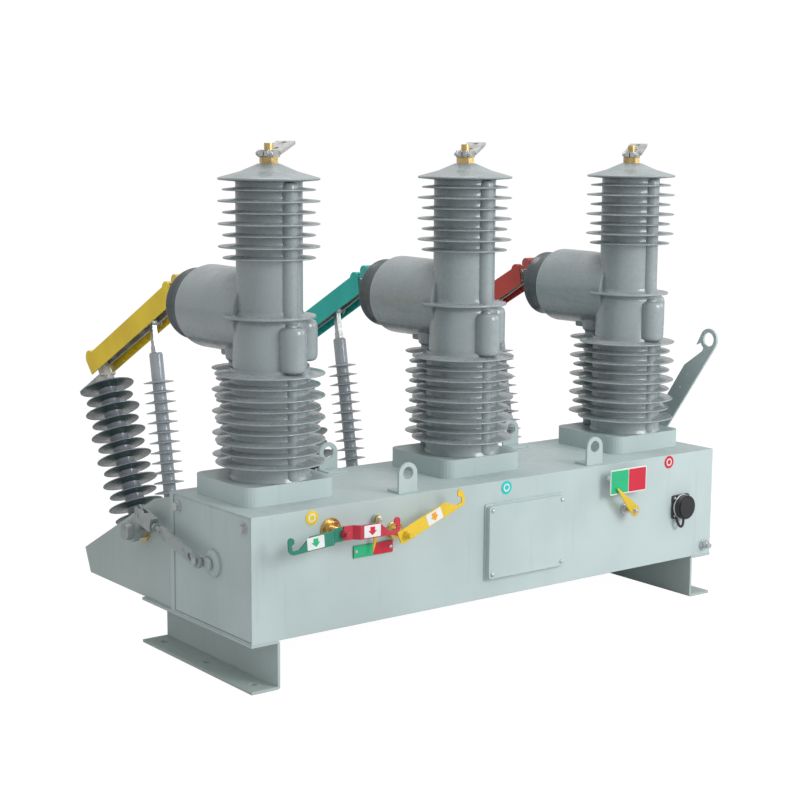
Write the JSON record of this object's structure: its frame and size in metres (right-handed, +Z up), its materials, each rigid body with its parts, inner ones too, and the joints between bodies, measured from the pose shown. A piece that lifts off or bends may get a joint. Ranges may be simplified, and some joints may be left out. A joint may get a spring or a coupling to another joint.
{
  "type": "vacuum recloser",
  "caption": "Outdoor three-pole vacuum recloser on a steel housing with feet, with a rear isolating switch worked by a hooked lever.",
  "frame": {"origin": "centre of the foot bolt pattern, on the underside of the feet", "axes": "+X along the housing, away from the first pole; -Y is the operating side; +Z up"},
  "size_m": [1.425, 1.082, 1.1175],
  "materials": {
    "housing_paint": "light grey-green powder coat",
    "plate_print": "two-colour printed plate",
    "socket_metal": "dark painted flange",
    "black_plastic": "black moulding",
    "zinc": "dull zinc plating",
    "brass": "plain brass",
    "resin": "glossy grey cast resin",
    "dark_resin": "dark grey moulding",
    "tinned": "tinned finish",
    "yellow_cover": "yellow moulding",
    "post_resin": "violet-grey moulding",
    "arm_metal": "silvery metal",
    "green_cover": "green moulding",
    "red_cover": "dark red moulding",
    "rod_resin": "grey moulding",
    "green_paint": "green paint",
    "red_paint": "red paint",
    "yellow_paint": "yellow paint"
  },
  "bodies": {
    "base": {"housing": "housing_paint", "end_plates": "housing_paint", "feet": "housing_paint", "lifting_lugs": "housing_paint", "cover_panel": "housing_paint", "position_plate": "plate_print", "charge_plate": "plate_print", "control_socket": "socket_metal", "socket_cap": "black_plastic", "ground_bolt": "zinc", "end_bolts": "zinc", "interlock_hub": "housing_paint", "front_bosses": "brass", "pointer_bushes": "brass", "bracket_sides": "housing_paint", "rear_deck": "housing_paint", "shaft_bushes": "brass", "plinths": "housing_paint", "pole_bodies": "resin", "pole_tops": "resin", "outlet_ends": "dark_resin", "top_studs": "brass", "top_pads": "tinned", "hinge_mounts": "zinc", "hinge_covers": "yellow_cover", "post_feet": "zinc", "post_insulators": "post_resin", "post_contacts": "tinned"},
    "isolator_drive": {"isolator_shaft": "housing_paint", "pull_lever": "housing_paint"},
    "blade_a": {"blade_a": "arm_metal", "cover_a": "yellow_cover"},
    "pull_rod_a": {"rod_a": "rod_resin", "rod_ends_a": "zinc"},
    "blade_b": {"blade_b": "arm_metal", "cover_b": "green_cover"},
    "pull_rod_b": {"rod_b": "rod_resin", "rod_ends_b": "zinc"},
    "blade_c": {"blade_c": "arm_metal", "cover_c": "red_cover"},
    "pull_rod_c": {"rod_c": "rod_resin", "rod_ends_c": "zinc"},
    "interlock_link": {"link_bar": "housing_paint"},
    "trip_lever": {"trip_shaft": "brass", "trip_green": "green_paint", "trip_red": "red_paint"},
    "charging_lever": {"charge_shaft": "brass", "charge_handle": "yellow_paint"},
    "charge_pointer": {"charge_pointer": "yellow_paint"},
    "position_pointer": {"position_pointer": "tinned"}
  },
  "joints": [
    {"name": "isolator_drive_turn", "type": "hinge", "parent": "base", "child": "isolator_drive", "pos_m": [0, 0.227, 0.26], "axis": [1, 0, 0], "range_deg": [0, 50]},
    {"name": "blade_a_turn", "type": "hinge", "parent": "base", "child": "blade_a", "pos_m": [-0.525, 0.318, 0.772], "axis": [1, 0, 0], "range_deg": [-1, 51]},
    {"name": "pull_rod_a_turn", "type": "hinge", "parent": "isolator_drive", "child": "pull_rod_a", "pos_m": [-0.525, 0.34603, 0.18533], "axis": [1, 0, 0], "range_deg": [-51, 1]},
    {"name": "blade_b_turn", "type": "hinge", "parent": "base", "child": "blade_b", "pos_m": [0, 0.318, 0.772], "axis": [1, 0, 0], "range_deg": [-1, 51]},
    {"name": "pull_rod_b_turn", "type": "hinge", "parent": "isolator_drive", "child": "pull_rod_b", "pos_m": [0, 0.34603, 0.18533], "axis": [1, 0, 0], "range_deg": [-51, 1]},
    {"name": "blade_c_turn", "type": "hinge", "parent": "base", "child": "blade_c", "pos_m": [0.525, 0.318, 0.772], "axis": [1, 0, 0], "range_deg": [-1, 51]},
    {"name": "pull_rod_c_turn", "type": "hinge", "parent": "isolator_drive", "child": "pull_rod_c", "pos_m": [0.525, 0.34603, 0.18533], "axis": [1, 0, 0], "range_deg": [-51, 1]},
    {"name": "interlock_link_turn", "type": "hinge", "parent": "isolator_drive", "child": "interlock_link", "pos_m": [-0.7, 0.183, 0.304], "axis": [1, 0, 0], "range_deg": [-62.1, 1]},
    {"name": "trip_lever_turn", "type": "hinge", "parent": "base", "child": "trip_lever", "pos_m": [-0.4815, -0.23, 0.325], "axis": [0, 1, 0], "range_deg": [-25, 25]},
    {"name": "charging_lever_turn", "type": "hinge", "parent": "base", "child": "charging_lever", "pos_m": [-0.319, -0.23, 0.3], "axis": [0, 1, 0], "range_deg": [0, 60]},
    {"name": "charge_pointer_turn", "type": "hinge", "parent": "base", "child": "charge_pointer", "pos_m": [-0.366, -0.23, 0.329], "axis": [0, 1, 0], "range_deg": [-30, 0]},
    {"name": "position_pointer_turn", "type": "hinge", "parent": "base", "child": "position_pointer", "pos_m": [0.374, -0.23, 0.256], "axis": [0, 1, 0], "range_deg": [0, 85]}
  ],
  "couplings": [
    {"joint": "blade_a_turn", "follows": "isolator_drive_turn", "ratio": 1},
    {"joint": "pull_rod_a_turn", "follows": "isolator_drive_turn", "ratio": -1},
    {"joint": "blade_b_turn", "follows": "isolator_drive_turn", "ratio": 1},
    {"joint": "pull_rod_b_turn", "follows": "isolator_drive_turn", "ratio": -1},
    {"joint": "blade_c_turn", "follows": "isolator_drive_turn", "ratio": 1},
    {"joint": "pull_rod_c_turn", "follows": "isolator_drive_turn", "ratio": -1},
    {"joint": "interlock_link_turn", "follows": "isolator_drive_turn", "ratio": -1.222}
  ]
}
